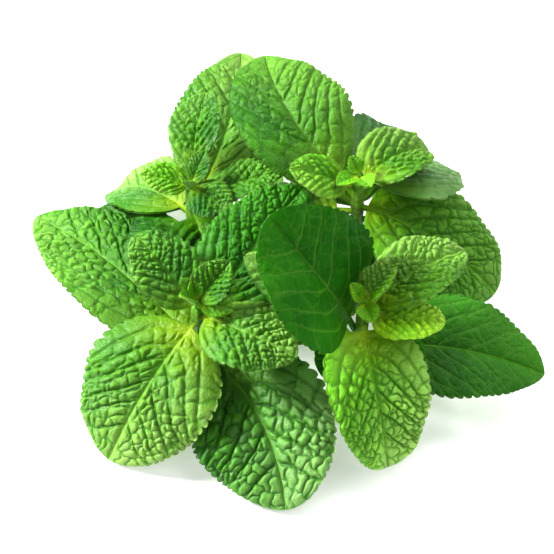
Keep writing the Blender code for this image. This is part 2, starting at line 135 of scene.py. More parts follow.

# Each leaf's form, as in the part's solids. node is the height on the shoot where it grows, widest the share
# of the length where it is broadest, and full how blunt it is. Then come its skin, its finish, its tone from
# 0, deep, to 1, light, and the fineness of its grid, which is lower where no side shows the leaf well. The
# finish and tone are partly the leaf's own green and partly painted light and shade: leaves that stand in
# shade are given deeper greens, and some leaves lighter greens to make up for the shade on them.
LEAF_COLUMNS = ("node", "stalk", "heading", "bend", "rise", "arch", "length", "width", "roll", "fold", "curl",
                "widest", "full", "skin", "finish", "tone", "fineness")
LEAVES = {
    "front_left": {
        "pair1_left": (12, 2, 128.5, 9, 7, -24, 64, 34.5, 2, 15, -10, 0.37, 0.64,
                       "quilted", "mature", 0.5, 1),
        "pair1_right": (12, 6, -49, -34, 3, -36, 43, 36.5, 17, 12, -18, 0.46, 0.52, "broad", "satin", 0.7, 1),
        "pair2_left": (23, 0.6, -129, -1, -10, -48, 40.5, 37.5, -4, 8, -27, 0.44, 0.48,
                       "quilted", "fresh", 0.42, 1),
        "pair2_right": (20, 4, 53, -2, 31, -25, 41, 26, 9, 12, -24, 0.42, 0.58, "ribbed", "dark", 0.45, 1),
        "pair3_left": (26, 0.5, 128, 8, 36, -32, 24, 18, -8, 14, -20, 0.43, 0.58,
                       "bullate", "mature", 0.55, 1),
        "pair3_right": (26, 0.5, -36, 10, 22, -39, 27, 22, 2, 9, -29, 0.45, 0.56, "bullate", "fresh", 0.5, 1),
        "pair1_front": (15.5, 3, -88, 0, 0, -34, 20, 14, 0, 12, -18, 0.43, 0.6, "young", "dark", 0.4, 0.6),
    },
    "front_right": {
        "pair1_left": (19, 3, 157, -4, 40, -24, 32, 18, 0, 12, -20, 0.43, 0.64,
                       "long_veined", "fresh", 0.35, 0.6),
        "pair1_right": (17, 3, 0.5, -7, 4, -34, 44, 28.5, 15, 15, -18, 0.4, 0.64, "smooth", "dark", 0.55, 1),
        "pair2_left": (25, 3.2, 181, -33, 69, -27, 37.8, 35, -22, 16, -14, 0.37, 0.48,
                       "smooth", "shaded", 0.3, 1),
        "pair2_right": (26, 0.6, -80, 9, -9, -69, 37, 27, -6, 17, -10, 0.36, 0.48, "fine", "pale", 0.5, 1),
        "pair1_low": (20, 1, 236, 0, -2, -20, 12, 15.5, 0, 10, -18, 0.43, 0.5, "ribbed", "shaded", 0.5, 0.6),
        "pair2_low": (22, 1, -28, 0, -2, -24, 15, 15, 0, 10, -18, 0.43, 0.55, "ribbed", "shaded", 0.5, 0.6),
        "pair3_right": (28, 0.4, -11, 0, 20, -24, 18.5, 14, -2, 11, -26, 0.44, 0.5,
                        "bullate", "lime", 0.8, 1),
        "pair4_right": (30, 1, 32, -3, 40, -60, 29, 20, -2, 14, -17, 0.47, 0.62, "bullate", "fresh", 0.82, 1),
    },
    "back_right": {
        "pair1_back": (22, 4, 98, 6, -2, -40, 36, 23, 0, 14, -20, 0.42, 0.63, "ribbed", "mature", 0.5, 0.6),
        "pair1_front": (16.2, 3, 236, 0, -2, -24, 32, 27, 0, 12, -18, 0.43, 0.5,
                        "ribbed", "mature", 0.2, 0.6),
        "pair1_right": (21, 3, -70, 0, -6, -16, 19, 20, 0, 12, -18, 0.43, 0.6, "young", "mature", 0.3, 0.6),
        "pair2_left": (26, 3, 175, 0, -2, -16, 27, 20, 0, 12, -18, 0.43, 0.6, "ribbed", "fresh", 0.95, 0.6),
        "pair2_low": (22.5, 2, 12, 0, -6, -20, 24, 19, 0, 12, -18, 0.43, 0.55, "ribbed", "mature", 0.3, 0.6),
        "pair3_right": (33, 3, 46, -1, 1, -48, 27.5, 37.5, 2, 15, -11, 0.42, 0.54,
                        "long_veined", "glossy", 0.35, 1),
        "pair3_left": (31, 5, 141, -44, 35, -44, 44, 31.5, -2, 15, -18, 0.45, 0.61,
                       "long_veined", "mature", 0.45, 1),
        "pair2_right": (28, 0.5, -16.5, -12, -9, -34, 41.5, 33, 4, 12, -23, 0.43, 0.46,
                        "quilted", "mature", 0.8, 1),
        "pair4_left": (36, 1, 187, 1, 38, -20, 17, 13, -12, 11, -26, 0.44, 0.6, "bullate", "bright", 0.65, 1),
        "pair4_right": (36, 1, 40, -14, 34, -80, 22, 18, 2, 17, -12, 0.4, 0.57, "fine", "fresh", 0.55, 1),
    },
    "back_left": {
        "pair1_left": (19.5, 2, 134, 4, -3, -50, 31.5, 22, -6, 17, -12, 0.43, 0.6,
                       "long_veined", "fresh", 0.32, 1),
        "pair1_right": (14, 4, 80, 0, 4, -36, 31, 18, 0, 14, -18, 0.43, 0.64, "ribbed", "mature", 0.4, 0.6),
        "pair1_low": (13, 4, 170, -6, -2, -28, 31, 18, 0, 10, -16, 0.43, 0.6, "ribbed", "mature", 0.4, 0.6),
        "pair1_front": (22, 1, -74, 0, -2, -12, 30, 23, 0, 12, -18, 0.43, 0.5, "ribbed", "dark", 0.25, 0.6),
        "pair2_low": (17.75, 1, 222, 0, 0, -10, 16.5, 20.5, 0, 10, -18, 0.43, 0.55,
                      "ribbed", "dark", 0.45, 0.6),
        "pair2_left": (22, 4, 67, 21, 12, -10, 48, 30, 5, 14, -20, 0.44, 0.59,
                       "long_veined", "fresh", 0.5, 1),
        "pair2_right": (25, 1, 7, -4, 36, -32, 23, 14, -2, 16, -15, 0.43, 0.58, "bullate", "mature", 0.75, 1),
        "pair3_left": (27, 6, 88, -16, 38, -25, 21, 16, -24, 18, -12, 0.5, 0.62, "bullate", "mature", 0.5, 1),
    },
}

# The young leaves of each bud, as in the part's solids, with their skins, finishes and tones, which are
# partly painted light and shade as with the leaves. What a leaf doesn't give is in the plain one.
PLAIN_BUD_LEAF = dict(bend=0, roll=0, curl=0, widest=0.43, full=0.63, stalk=0.8, stalk_half=0.6, inside=0.0,
                      fineness=1.6)
BUD_LEAVES = {
    "front_left": [
        dict(heading=30, bend=8, rise=50, arch=-14, length=13, width=11, roll=22, fold=26, curl=-8,
             skin="bullate", finish="mature", tone=0.60),
        dict(heading=-12, rise=14, arch=-40, length=9, width=7.5, roll=10, fold=12, curl=-16, skin="young",
             finish="bright", tone=0.75),
        dict(heading=206, rise=58, arch=-20, length=6, width=4.5, fold=20, skin="young", finish="young",
             tone=0.4),
        dict(heading=112, rise=66, arch=-20, length=5, width=4, fold=20, skin="young", finish="young",
             tone=0.3),
    ],
    "front_right": [
        dict(heading=28, bend=10, rise=48, arch=-16, length=12, width=12, roll=-16, fold=28, curl=-8,
             skin="bullate", finish="fresh", tone=0.90),
        dict(heading=140, rise=62, arch=-30, length=5.5, width=4.5, fold=16, skin="young", finish="young",
             tone=0.85),
        dict(heading=-70, rise=20, arch=-40, length=6, width=6, fold=12, curl=-10, skin="young",
             finish="young", tone=0.85),
    ],
    "back_right": [
        dict(heading=-60, rise=34, arch=-40, length=5.5, width=5.5, fold=16, curl=-10, skin="young",
             finish="young", tone=0.6),
        dict(heading=120, rise=60, arch=-30, length=5, width=4.5, fold=18, curl=-10, skin="young",
             finish="young", tone=0.6),
        dict(heading=215, rise=26, arch=-36, length=6.5, width=5.5, fold=14, skin="young", finish="young",
             tone=0.5),
    ],
    "back_left": [
        dict(heading=175, rise=26, arch=-28, length=13, width=9.5, roll=-14, fold=12, curl=-23,
             skin="bullate", finish="bright", tone=0.6),
        dict(heading=-46, rise=12, arch=-20, length=14, width=12, roll=12, fold=10, curl=-26,
             skin="bullate", finish="mature", tone=0.35),
        dict(heading=60, rise=52, arch=-30, length=9, width=7, fold=16, curl=-10, skin="ribbed",
             finish="mature", tone=0.3),
        dict(heading=240, rise=62, arch=-20, length=6, width=4.5, fold=18, skin="young", finish="young",
             tone=0.4),
    ],
}


# Meshes


def mesh_object(name, points, loops, sizes, marks):
    """A mesh from points in millimetres, its faces' corners one after another, and marks on its points."""
    mesh = bpy.data.meshes.new(name)
    mesh.vertices.add(len(points))
    mesh.vertices.foreach_set("co", ((points - MIDDLE) * METRES).astype(np.float32).ravel())
    mesh.loops.add(len(loops))
    mesh.loops.foreach_set("vertex_index", loops.astype(np.int32))
    mesh.polygons.add(len(sizes))
    mesh.polygons.foreach_set("loop_start", (np.cumsum(sizes) - sizes).astype(np.int32))
    mesh.polygons.foreach_set("loop_total", sizes.astype(np.int32))
    mesh.polygons.foreach_set("use_smooth", np.full(len(sizes), True))
    mesh.update(calc_edges=True)
    mesh.validate()
    layer = mesh.attributes.new("marks", "FLOAT_COLOR", "POINT")
    layer.data.foreach_set("color", marks[:, :4].astype(np.float32).ravel())
    for column, label in ((4, "hollow_shade"), (5, "painted_light")):
        layer = mesh.attributes.new(label, "FLOAT", "POINT")
        layer.data.foreach_set("value", marks[:, column].astype(np.float32))
    return place_in_scene(name, mesh)


def place_in_scene(name, data):
    """A new object in the scene that holds the data."""
    item = bpy.data.objects.new(name, data)
    bpy.context.scene.collection.objects.link(item)
    return item


class Shell:
    """Points, faces and marks of several closed surfaces that make one piece."""

    def __init__(self):
        self.points, self.loops, self.sizes, self.marks, self.slots, self.count = [], [], [], [], [], 0

    def add_points(self, points, marks):
        """Adds points and gives the number of the first one."""
        first = self.count
        self.points.append(points)
        self.marks.append(marks)
        self.count += len(points)
        return first

    def add_faces(self, faces, first, slot):
        """Adds faces with the same number of corners, counted from a first point."""
        self.loops.append((faces + first).ravel())
        self.sizes.append(np.full(len(faces), faces.shape[1]))
        self.slots.append(np.full(len(faces), slot))

    def build(self, name, materials):
        """The finished piece with its materials."""
        item = mesh_object(name, np.concatenate(self.points), np.concatenate(self.loops),
                           np.concatenate(self.sizes), np.concatenate(self.marks))
        for material in materials:
            item.data.materials.append(material)
        item.data.polygons.foreach_set("material_index", np.concatenate(self.slots).astype(np.int32))
        return item


# Leaves


def each_leaf():
    """Every leaf's name, its shoot and its form by column, in the order of the table."""
    for shoot, leaves in LEAVES.items():
        for pair, values in leaves.items():
            form = dict(zip(LEAF_COLUMNS, values), stalk_half=STALK_HALF, inside=ROOT_INSIDE)
            yield f"{shoot}_{pair}", SHOOTS[shoot], form


def directions(leaf, share):
    """The forward direction and the heading at each share: heading + bend s round, rise + arch s upwards."""
    heading = np.radians(leaf["heading"] + leaf["bend"] * share)
    slope = np.radians(leaf["rise"] + leaf["arch"] * share)
    flat = np.cos(slope)
    return np.stack([flat * np.cos(heading), flat * np.sin(heading), np.sin(slope)], -1), heading


def midrib(leaf, root, share):
    """The midrib at each share of the blade's length: its points and its side and up directions.

    The points are the sum of small steps along the forward directions, and a share below 0 lies on the stalk,
    straight behind the base. Side is level, and both are rolled round the midrib.
    """
    fine = np.linspace(0.0, 1.0, FINE_STEPS + 1)
    forward = directions(leaf, fine)[0]
    steps = (forward[1:] + forward[:-1]) / 2 * leaf["length"] / FINE_STEPS
    base = root + forward[0] * leaf["stalk"]
    path = base + np.concatenate([np.zeros((1, 3)), np.cumsum(steps, 0)])
    inside = np.clip(share, 0.0, 1.0)
    points = np.stack([np.interp(inside, fine, path[:, k]) for k in range(3)], -1)
    points = points + forward[0] * (np.minimum(share, 0.0) * leaf["length"])[..., None]
    forward, heading = directions(leaf, inside)
    level = np.stack([-np.sin(heading), np.cos(heading), np.zeros_like(heading)], -1)
    above = np.cross(forward, level)
    roll = math.radians(leaf["roll"])
    side = math.cos(roll) * level + math.sin(roll) * above
    return points, side, math.cos(roll) * above - math.sin(roll) * level


def half_width(leaf, share):
    """Half the blade's width at a share s: width / 2 sin(pi s^p)^full, at least the stalk's or tip's."""
    power = math.log(0.5) / math.log(leaf["widest"])
    arch = np.sin(np.pi * np.clip(share, 0.0, 1.0) ** power).clip(0.0)
    stalk = np.where(share < 0.5, leaf["stalk_half"], TIP_HALF)
    return np.maximum(leaf["width"] / 2 * arch ** leaf["full"], stalk)


def vein_start(place, away, sweep):
    """The share at which the side vein through a place leaves the midrib: s - sweep sin(pi s) |v|^1.1."""
    return place - sweep * np.sin(np.pi * np.clip(place, 0.0, 1.0)) * away**1.1


def rim_teeth(s, v, teeth, rng):
    """The rounded teeth, from -1 in a notch to 0.6 at a point and 0 inside the rim, and the rim's own mask.

    A tooth is (0.5 - 0.5 cos(2 pi n s))^0.7, which leans towards the tip. The teeth are moved and deepened a
    little at random, and fade out at the base and the tip.
    """
    right = v > 0
    jitter = np.interp(s + 0.5 * right, np.linspace(0, 1.5, 19), rng.uniform(-0.35, 0.35, 19))
    phase = s * teeth + jitter + 0.2 * right
    skewed = phase + TOOTH_LEAN * np.sin(2 * np.pi * phase)
    tooth = (0.5 - 0.5 * np.cos(2 * np.pi * skewed)) ** 0.7 * 1.6 - 1.0
    grown = np.clip(s / 0.12, 0.0, 1.0) * np.clip((1.0 - s) / 0.06, 0.0, 1.0)
    near_rim = np.clip((np.abs(v) - RIM_START) / RIM_BAND, 0.0, 1.0) ** 2
    depths = rng.uniform(0.55, 1.25, 2 * teeth)
    depth = np.interp(s * teeth + 0.4 * teeth * right, np.arange(2 * teeth), depths)
    return tooth * grown * near_rim * depth, near_rim


def wander(along, across, away, rng):
    """Places moved on slow waves, so that the net of veins wavers. The midrib stays straight."""
    turn = rng.uniform(0, 2 * np.pi, 6)[:4]
    ripple = 0.25 * np.sin(2.3 * across + 0.8 * along + turn[1])
    along = along + 0.45 * np.sin(0.9 * across + turn[0]) + ripple
    sway = 0.35 * np.sin(1.1 * along + turn[2]) + 0.25 * np.sin(2.1 * along + turn[3])
    return along, across + sway * np.clip(away * 5, 0, 1)


def side_veins(leaf, skin, place, v, rng):
    """Each place's distance from the nearest side vein, and the shares at which the veins leave the midrib.

    Vein k of n leaves at 0.9 ((k + 0.35) / (n + 0.4))^1.25 + 0.01, moved a little at random on each half, and
    wavers on its way to the rim.
    """
    count = skin["veins"]
    starts = 0.90 * ((np.arange(count) + 0.35) / (count + 0.4)) ** 1.25 + 0.01
    shift = rng.uniform(-0.014, 0.014, (2, count))
    away = np.abs(v)
    own = vein_start(place, away, skin["sweep"])
    nearest = np.full(v.shape, 9.0)
    for half, here in enumerate((v <= 0, v > 0)):
        for k in range(count):
            bent = starts[k] + shift[half, k] + 0.009 * np.sin(8 * away + 2 * k)
            bent = bent + 0.004 * np.sin(23 * away + 3 * k)
            gap = np.abs(own - bent) * leaf["length"] * 0.72
            nearest = np.where(here, np.minimum(nearest, gap), nearest)
    return nearest, starts


def blister_cells(leaf, skin, along, across, veins, rng):
    """The net of fine veins: each point's place in its cell, its distance from the centre, the cell's number.

    Each strip between two side veins holds one or two lines of cell centres, moved a little at random. The
    place is the second nearest centre's distance less the nearest's, so it is 0 between two cells.
    """
    edges = np.concatenate([[-0.04], veins, [0.99]])
    starts, aways, signs = [], [], []
    for sign in (-1.0, 1.0):
        for low, high in zip(edges, edges[1:]):
            reach = float(half_width(leaf, np.array([min((low + high) / 2 + 0.12, 0.9)]))[0])
            lines = 2 if 0.75 * (high - low) * leaf["length"] > 1.5 * skin["size"] else 1
            count = max(3, int(round(1.2 * reach / skin["size"])))
            for line in range(lines):
                k = np.arange(count)
                spot = k + 0.25 + 0.5 * line + rng.uniform(-0.32, 0.32, count)
                aways.append(np.clip(spot / count, 0, 1))
                part = (line + 0.5) / lines + rng.uniform(-0.2, 0.2, count)
                starts.append(low + (high - low) * part)
                signs.append(np.full(count, sign))
    start, away, sign = np.concatenate(starts), np.concatenate(aways), np.concatenate(signs)
    place = start.copy()
    for _ in range(16):
        place = np.clip(start + skin["sweep"] * np.sin(np.pi * np.clip(place, 0, 1)) * away**1.1, -0.05, 1.02)
    centres = np.stack([place * leaf["length"], sign * away * half_width(leaf, place)], -1).astype(np.float32)
    flat = np.stack([along.ravel(), across.ravel()], -1).astype(np.float32)
    gap = flat[:, None, :] - centres[None, :, :]
    distance = np.sqrt((gap**2).sum(-1))
    order = np.argpartition(distance, 1, axis=1)[:, :2]
    two = np.take_along_axis(distance, order, 1)
    nearest = order[np.arange(len(order)), two.argmin(1)]
    inside = np.abs(two[:, 1] - two[:, 0]).reshape(along.shape)
    number = rng.random(len(centres))[nearest].reshape(along.shape)
    return inside, two.min(1).reshape(along.shape), number


def leaf_surface(leaf, root, seed):
    """The upper grid of one leaf, with its blisters, veins and teeth, the grid under it, and its marks.

    A row has one share s of the length and a column one place v from -1 to 1 across. Points are the midrib
    at s + sweep |v|, plus side times the half width times the spread of an arc from fold to fold + curl, plus
    up times its height. The relief is the puff between the side veins, plus each cell's dome
    1 - (1 - d / size)^2, which falls away from the cell's centre, less exp(-(d / width)^2) on each vein. The
    marks are light veins, the yellow base, the cell's tone, the teeth, painted shade in the hollows, and
    painted light that grows towards the tip and on one half.
    """
    rng = np.random.default_rng(seed)
    skin = SKINS[leaf["skin"]]
    teeth = max(6, int(round(leaf["length"] / TOOTH_PITCH * leaf["fineness"])))
    rows = ROWS_PER_TOOTH * teeth
    columns = round(leaf["width"] * COLUMNS_PER_MM * leaf["fineness"])
    columns = 2 * int(np.clip(columns, 12, 56)) + 1
    stalk = (leaf["stalk"] + leaf["inside"]) / leaf["length"]
    share = np.concatenate([-stalk + stalk * np.arange(STALK_ROWS) / STALK_ROWS, np.arange(rows + 1) / rows])
    even = np.linspace(-1.0, 1.0, columns)
    s, v = np.meshgrid(share, 0.74 * even + 0.26 * even**3, indexing="ij")
    away = np.abs(v)
    body = np.sin(np.pi * np.clip(s, 0.0, 1.0)) ** 0.5
    tooth, near_rim = rim_teeth(s, v, teeth, rng)
    place = s + VEIN_SWEEP * body**2 * away + TOOTH_SHIFT * tooth
    points, side, up = midrib(leaf, root, place)
    half = half_width(leaf, place)
    width = half * (1 + TOOTH_DEPTH * tooth)
    fold, curl = math.radians(leaf["fold"]), math.radians(leaf["curl"]) + 1e-6
    tilt = fold + curl * away
    spread = (np.sin(tilt) - math.sin(fold)) / curl * np.sign(v)
    height = (math.cos(fold) - np.cos(tilt)) / curl

    scale = min(1.0, leaf["width"] / FULL_RELIEF_WIDTH) ** 0.5
    along, across = wander(place * leaf["length"], v * half, away, rng)
    vein_gap, veins = side_veins(leaf, skin, place, v, rng)
    inside, centre_gap, number = blister_cells(leaf, skin, along, across, veins, rng)
    fade = 1.0 - 0.5 * away**3
    vein = np.exp(-((vein_gap / VEIN_HALF) ** 2)) * fade
    wide_vein = np.exp(-((vein_gap / (WIDE_VEIN_HALF * scale)) ** 2))
    dome = 1 - (1 - np.clip(inside / (0.50 * skin["size"]), 0.0, 1.0)) ** 2
    dome = dome * (1 - 0.35 * np.clip(centre_gap / (0.8 * skin["size"]), 0.0, 1.0) ** 2)
    rib = np.exp(-((v * half / (RIB_HALF * scale * (1.35 - np.clip(s, 0, 1)))) ** 2))
    calm = np.clip(away / 0.07, 0.0, 1.0) * (1 - near_rim**2) * np.clip(s / 0.08, 0.0, 1.0) ** 0.7
    mounded = dome * (1 - 0.9 * vein) * (0.7 + 0.6 * number)
    relief = skin["cell"] * scale * mounded * calm
    puffed = np.sin(np.pi * np.clip(away, 0, 1)) ** 0.6
    relief = relief + skin["puff"] * scale * (1 - wide_vein) * puffed * calm
    relief = relief - skin["groove"] * scale * vein * calm
    wave = EDGE_WAVE * leaf["width"] / 30 * np.sin(5 * np.pi * s + leaf["heading"]) * away**3
    sink = -MIDRIB_SINK * (1 - away) ** 4 - 0.25 * scale * rib * np.clip(s / 0.1, 0, 1)
    relief = (relief + wave + sink) * body
    upper = points + side * (width * spread)[..., None] + up * (width * height + relief)[..., None]

    down = side * (np.sign(v) * np.sin(tilt))[..., None] - up * np.cos(tilt)[..., None]
    thick = BLADE_THICK - (BLADE_THICK - RIM_THICK) * near_rim
    thick = thick + (STALK_THICK - thick) * (1 - np.clip(s * 3, 0.0, 1.0)) * (1 - 0.5 * away)
    thick = thick + (0.45 * rib + 0.25 * vein) * scale * body * np.clip(1.2 - s, 0, 1)
    upper[..., 2] = np.maximum(upper[..., 2], thick)
    lower = upper + down * thick[..., None]
    lower[..., 2] = np.maximum(lower[..., 2], 0.0)

    net = np.exp(-((inside / NET_HALF) ** 2)) * calm
    thin_vein = np.exp(-((vein_gap / THIN_VEIN_HALF) ** 2)) * fade
    shown = skin["pale"] * np.maximum(thin_vein, 0.45 * net) * (1 - 0.4 * near_rim)
    shown = np.maximum(shown, rib * (0.75 - 0.45 * np.clip(s, 0, 1)))
    base = np.clip(1 - s / 0.34, 0, 1) ** 1.4 * (1 - 0.8 * away**0.8)
    # Painted shade in the hollows: along the side veins and between the blisters
    hollow_shade = skin["dark"] * np.maximum(vein, np.exp(-((inside / HOLLOW_SHADE_HALF) ** 2))) * calm * (1 - rib)
    # Painted light: lighter, with more painted sheen, towards the tip and on one half, where the light falls
    painted_light = np.clip(1.2 * place - 0.25 + 0.5 * skin.get("painted_light_side", 1) * v, 0.0, 1.0)
    cell = 0.5 + (number - 0.5) * calm * min(skin["cell"], 1.0)
    marks = np.stack([shown, base, cell, near_rim * np.clip(tooth, 0, 1), hollow_shade, painted_light], -1)
    return upper, lower, marks


def leaf_faces(rows, columns):
    """Faces of a closed leaf: a fine upper grid, a grid of every second row and column under it, and a rim.

    Upper points come first and the under side's, every second one of the same grid, follow. A rim face has
    five corners: three of the fine edge and two of the coarse one.
    """
    index = np.arange(rows * columns).reshape(rows, columns)
    low = rows * columns + np.arange(((rows + 1) // 2) * ((columns + 1) // 2))
    low = low.reshape((rows + 1) // 2, (columns + 1) // 2)
    upper = np.stack([index[:-1, :-1], index[1:, :-1], index[1:, 1:], index[:-1, 1:]], -1)[:, :, ::-1]
    under = np.stack([low[:-1, :-1], low[1:, :-1], low[1:, 1:], low[:-1, 1:]], -1)
    ring = np.concatenate([index[:, 0], index[-1, 1:], index[-2::-1, -1], index[0, -2:0:-1]])
    ring_low = np.concatenate([low[:, 0], low[-1, 1:], low[-2::-1, -1], low[0, -2:0:-1]])
    first, second, third = ring[0::2], ring[1::2], np.roll(ring, -2)[0::2]
    rim = np.stack([first, ring_low, np.roll(ring_low, -1), third, second], -1)
    return upper.reshape(-1, 4), under.reshape(-1, 4), rim


def add_hairs(shell, places, normals, length, thick, seed):
    """Short hairs: each a three sided spike from a place along its normal, leaning a little at random."""
    rng = np.random.default_rng(seed)
    count = len(places)
    lean = rng.normal(0.0, 0.35, (count, 3))
    forward = normals + lean
    forward /= np.linalg.norm(forward, axis=1)[:, None]
    side = np.cross(forward, rng.normal(0.0, 1.0, (count, 3)))
    side /= np.linalg.norm(side, axis=1)[:, None]
    other = np.cross(forward, side)
    tall = length * rng.uniform(0.5, 1.2, count)
    foot = places - normals * HAIR_FOOT
    corners = []
    for turn in (0.0, 2 * math.pi / 3, 4 * math.pi / 3):
        corners.append(foot + (side * math.cos(turn) + other * math.sin(turn)) * thick)
    points = np.stack(corners + [foot + forward * (tall + HAIR_FOOT)[:, None]], 1).reshape(-1, 3)
    first = 4 * np.arange(count)[:, None]
    triangles = np.concatenate([first + [0, 1, 3], first + [1, 2, 3], first + [2, 0, 3], first + [2, 1, 0]])
    marks = np.tile([0.6, 0.2, 0.5, 0.0, 0.0, 0.5], (len(points), 1))
    shell.add_faces(triangles, shell.add_points(points, marks), HAIR_SLOT)


def add_blade(shell, leaf, root, seed, hairs=LEAF_HAIR_COUNT, slot=UPPER_SLOT):
    """One leaf's closed surface and its hairs, added to a piece. slot is its upper side's finish."""
    upper, lower, marks = leaf_surface(leaf, root, seed)
    rows, columns = upper.shape[:2]
    points = np.concatenate([upper.reshape(-1, 3), lower[::2, ::2].reshape(-1, 3)])
    both = np.concatenate([marks.reshape(-1, 6), marks[::2, ::2].reshape(-1, 6)])
    top, under, rim = leaf_faces(rows, columns)
    first = shell.add_points(points, both)
    shell.add_faces(top, first, slot)
    shell.add_faces(rim, first, slot)
    shell.add_faces(under, first, UNDER_SLOT)
    rng = np.random.default_rng(seed + 500)
    normal = np.cross(np.gradient(upper, axis=0), np.gradient(upper, axis=1))
    normal /= np.linalg.norm(normal, axis=-1)[..., None] + 1e-9
    normal *= np.sign((normal * (upper - lower)).sum(-1))[..., None]
    row = rng.integers(STALK_ROWS, rows - 2, hairs)
    edge = rng.random(hairs) < 0.35
    column = np.where(edge, rng.choice([0, columns - 1], hairs), rng.integers(2, columns - 2, hairs))
    add_hairs(shell, upper[row, column], normal[row, column], seed=seed + 900, **LEAF_HAIRS)


# Stems


def smooth_path(corners, steps):
    """A Catmull-Rom curve through the corners, with the same number of steps in each stretch."""
    corners = np.asarray(corners, float)
    held = np.concatenate([2 * corners[:1] - corners[1:2], corners, 2 * corners[-1:] - corners[-2:-1]])
    t = (np.arange(steps) / steps)[None, :, None]
    p0, p1, p2, p3 = (held[k:len(held) - 3 + k, None, :] for k in range(4))
    turn = (2 * p0 - 5 * p1 + 4 * p2 - p3) * t**2 + (3 * p1 - p0 - 3 * p2 + p3) * t**3
    points = (2 * p1 + (p2 - p0) * t + turn) / 2
    return np.concatenate([points.reshape(-1, 3), corners[-1:]])


def square_stem(shell, path, halves, first_side, around=STEM_AROUND, cut=False, tint=0.0):
    """A square stem along a path, with rounded corners and shallow troughs in its faces. Gives its rings.

    The radius at the angle a is the half width times (1 / max(|cos a|, |sin a|))^0.62. Rings are carried
    along the path without twist, and both ends close in to a middle point. The marks are the ridges, the
    tint at the nodes and, where the stem is cut, the pith.
    """
    along = np.gradient(path, axis=0)
    along /= np.linalg.norm(along, axis=1)[:, None]
    side = np.asarray(first_side, float)
    sides = []
    for forward in along:
        side = side - forward * (side @ forward)
        side = side / np.linalg.norm(side)
        sides.append(side)
    sides = np.array(sides)
    others = np.cross(along, sides)
    angle = 2 * np.pi * np.arange(around) / around
    square = np.maximum(np.abs(np.cos(angle)), np.abs(np.sin(angle)))
    corner = np.clip((1 / square - 1) / 0.414, 0, 1)
    radius = (1 / square) ** 0.62 * (1 - 0.075 * (1 - corner) ** 6)
    x, y = radius * np.cos(angle), radius * np.sin(angle)
    ridges = 1 + 0.012 * np.sin(np.arange(len(path)) * 0.9)[:, None] * np.sin(3 * angle)[None, :]
    size = halves[:, None] * ridges
    rings = path[:, None, :] + sides[:, None, :] * (size * x)[..., None]
    rings = rings + others[:, None, :] * (size * y)[..., None]
    rings[..., 2] = np.maximum(rings[..., 2], 0.0)
    low, high = path[0] - along[0] * 0.05, path[-1] + along[-1] * 0.05
    inner_low = path[0] + (rings[0] - path[0]) * 0.55
    inner_high = path[-1] + (rings[-1] - path[-1]) * 0.55
    points = np.concatenate([rings.reshape(-1, 3), inner_low, inner_high, [low, high]])
    count = len(path) * around
    marks = np.zeros((len(points), 6))
    marks[:count, 0] = np.tile(corner, len(path))
    marks[:count, 1] = np.repeat(np.broadcast_to(tint, len(path)), around)
    marks[:count, 2] = 0.5
    if cut:
        marks[count:-2, 3] = 0.5
        marks[-2:, 3] = 1.0
    first = shell.add_points(points, marks)

    index = np.arange(count).reshape(len(path), around)
    turned = np.roll(index, -1, axis=1)
    wall = np.stack([index[:-1], turned[:-1], turned[1:], index[1:]], -1).reshape(-1, 4)
    first_in = count + np.arange(around)
    last_in = count + around + np.arange(around)
    start = np.stack([index[0], first_in, np.roll(first_in, -1), turned[0]], -1)
    end = np.stack([index[-1], turned[-1], np.roll(last_in, -1), last_in], -1)
    pole_low = np.stack([np.roll(first_in, -1), first_in, np.full(around, len(points) - 2)], -1)
    pole_high = np.stack([last_in, np.roll(last_in, -1), np.full(around, len(points) - 1)], -1)
    for faces in (wall, start, end, pole_low, pole_high):
        shell.add_faces(faces, first, UPPER_SLOT)
    return rings


def shoot_path(shoot):
    """The middle line of a side shoot, from inside the main stem out along the surface and then upright."""
    x, y, top, joins = shoot["x"], shoot["y"], shoot["top"], shoot["joins_y"]
    low = SHOOT_HALF_LOW + 0.3
    corners = [(0, joins, low), (0.42 * x, joins + 0.36 * (y - joins), low + 0.2)]
    corners += [(0.84 * x, joins + 0.84 * (y - joins), low + 1.6), (x, y, 8.5), (x, y, 13.0)]
    bent = smooth_path(corners, 12)
    upright = np.linspace(13.0, top, 40)[1:]
    return np.concatenate([bent, np.stack([0 * upright + x, 0 * upright + y, upright], -1)])


